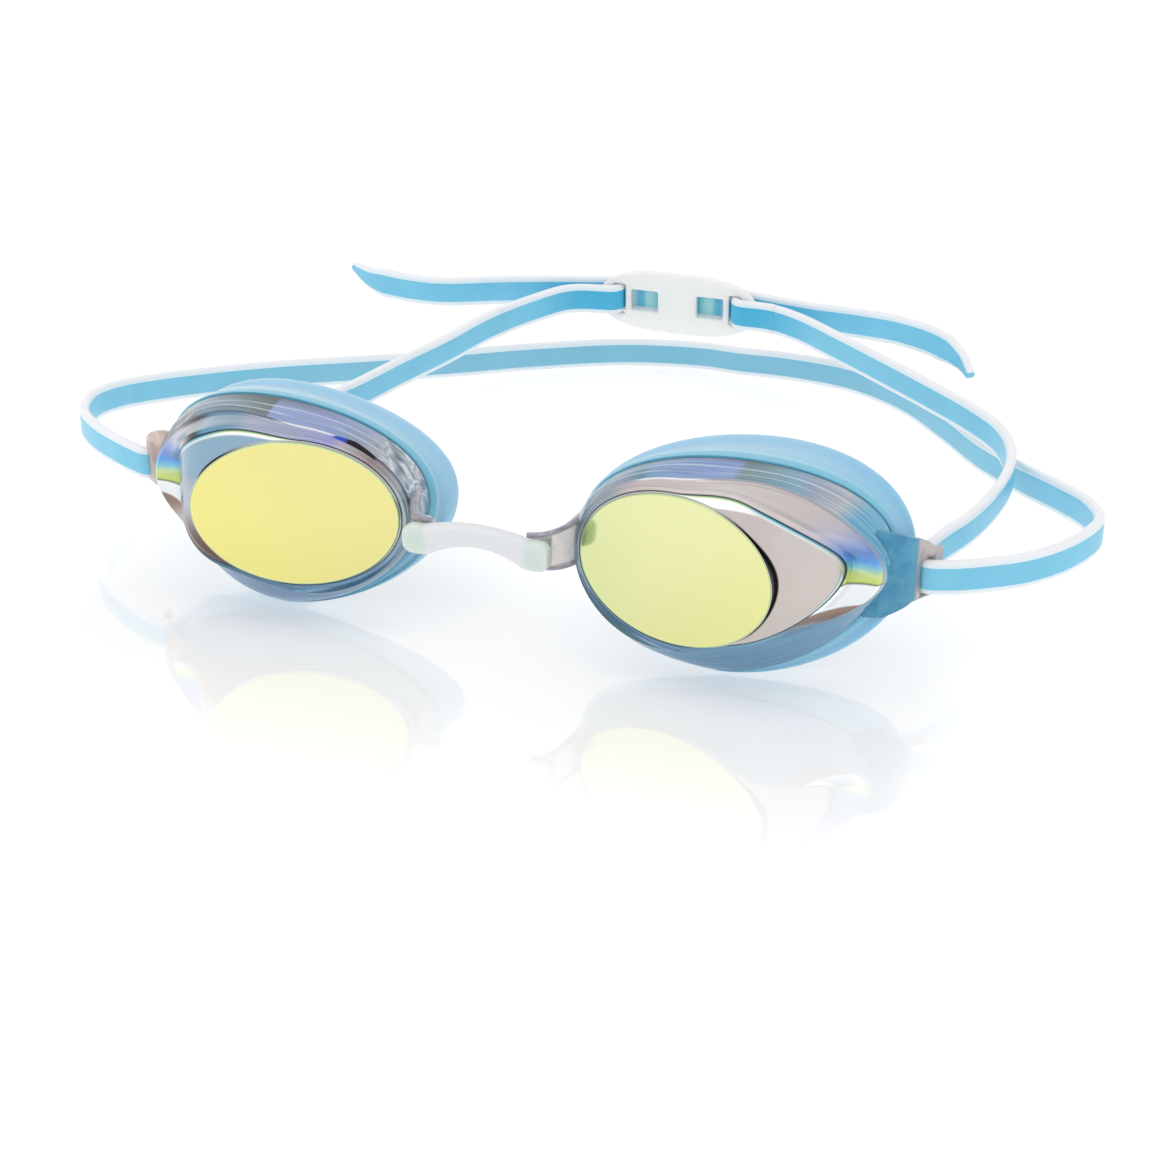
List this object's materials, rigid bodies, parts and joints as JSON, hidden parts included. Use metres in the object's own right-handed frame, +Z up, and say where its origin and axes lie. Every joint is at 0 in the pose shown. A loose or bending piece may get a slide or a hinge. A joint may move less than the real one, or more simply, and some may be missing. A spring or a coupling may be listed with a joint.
{
  "type": "swim goggles",
  "caption": "Low-profile racing swim goggles: mirrored windows in clear cups with soft seals, a flexible nose bridge, and an elastic head strap gathered by a rear clip.",
  "frame": {"origin": "middle of the footprint, on the surface that the goggles lie on", "axes": "+X across the face, left to right as seen from the front; -Y the way the windows face; +Z up"},
  "size_m": [0.1947, 0.1407, 0.0377],
  "materials": {
    "mirror_window": "pale yellow mirror coating, smooth and bright",
    "clear_shell": "clear glossy moulded shell with a partly mirrored wall",
    "blue_seal": "translucent pale blue silicone, satin",
    "frosted_bridge": "frosted translucent white, soft",
    "frosted_clip": "frosted translucent white, soft",
    "strap_elastic": "pale blue elastic band with milky translucent edges, satin"
  },
  "bodies": {
    "bridge": {"nose_bridge": "frosted_bridge"},
    "left_eyecup": {"left_frame": "clear_shell", "left_lens": "mirror_window", "left_gasket": "blue_seal"},
    "right_eyecup": {"right_frame": "clear_shell", "right_lens": "mirror_window", "right_gasket": "blue_seal"},
    "left_strap": {"left_rear_strap": "strap_elastic"},
    "right_strap": {"right_rear_strap": "strap_elastic"},
    "left_upper": {"left_upper_strap": "strap_elastic"},
    "right_upper": {"right_upper_strap": "strap_elastic"},
    "clip": {"strap_clip": "frosted_clip"}
  },
  "joints": [
    {"name": "bridge_fold", "type": "hinge", "parent": "bridge", "child": "left_eyecup", "pos_m": [-0.0108, -0.0653, 0.0211], "axis": [0, 0, 1], "range_deg": [-5, 5]},
    {"name": "left_temple_turn", "type": "hinge", "parent": "left_eyecup", "child": "left_strap", "pos_m": [-0.0719, -0.045, 0.0174], "axis": [0, 0, 1], "range_deg": [-10, 10]},
    {"name": "strap_flex", "type": "hinge", "parent": "left_strap", "child": "right_strap", "pos_m": [0, 0.069, 0.00315], "axis": [0, 0, 1], "range_deg": [-4, 4]},
    {"name": "right_temple_turn", "type": "hinge", "parent": "right_strap", "child": "right_eyecup", "pos_m": [0.0719, -0.045, 0.0174], "axis": [0, 0, 1], "range_deg": [-10, 10]},
    {"name": "upper_strap_lift", "type": "hinge", "parent": "left_strap", "child": "left_upper", "pos_m": [-0.0719, -0.045, 0.0174], "axis": [1, 0, 0], "range_deg": [0, 25]},
    {"name": "right_upper_lift", "type": "hinge", "parent": "right_strap", "child": "right_upper", "pos_m": [0.0719, -0.045, 0.0174], "axis": [1, 0, 0], "range_deg": [0, 25]},
    {"name": "clip_slide", "type": "slide", "parent": "left_upper", "child": "clip", "axis": [1, 0, 0], "range_m": [-0.002, 0.002], "deforming": ["left_upper_strap", "right_upper_strap"]}
  ],
  "couplings": [
    {"joint": "left_temple_turn", "follows": "bridge_fold", "ratio": -1.178},
    {"joint": "strap_flex", "follows": "bridge_fold", "ratio": 0.356},
    {"joint": "right_temple_turn", "follows": "bridge_fold", "ratio": -1.178},
    {"joint": "right_upper_lift", "follows": "upper_strap_lift", "ratio": 1}
  ]
}
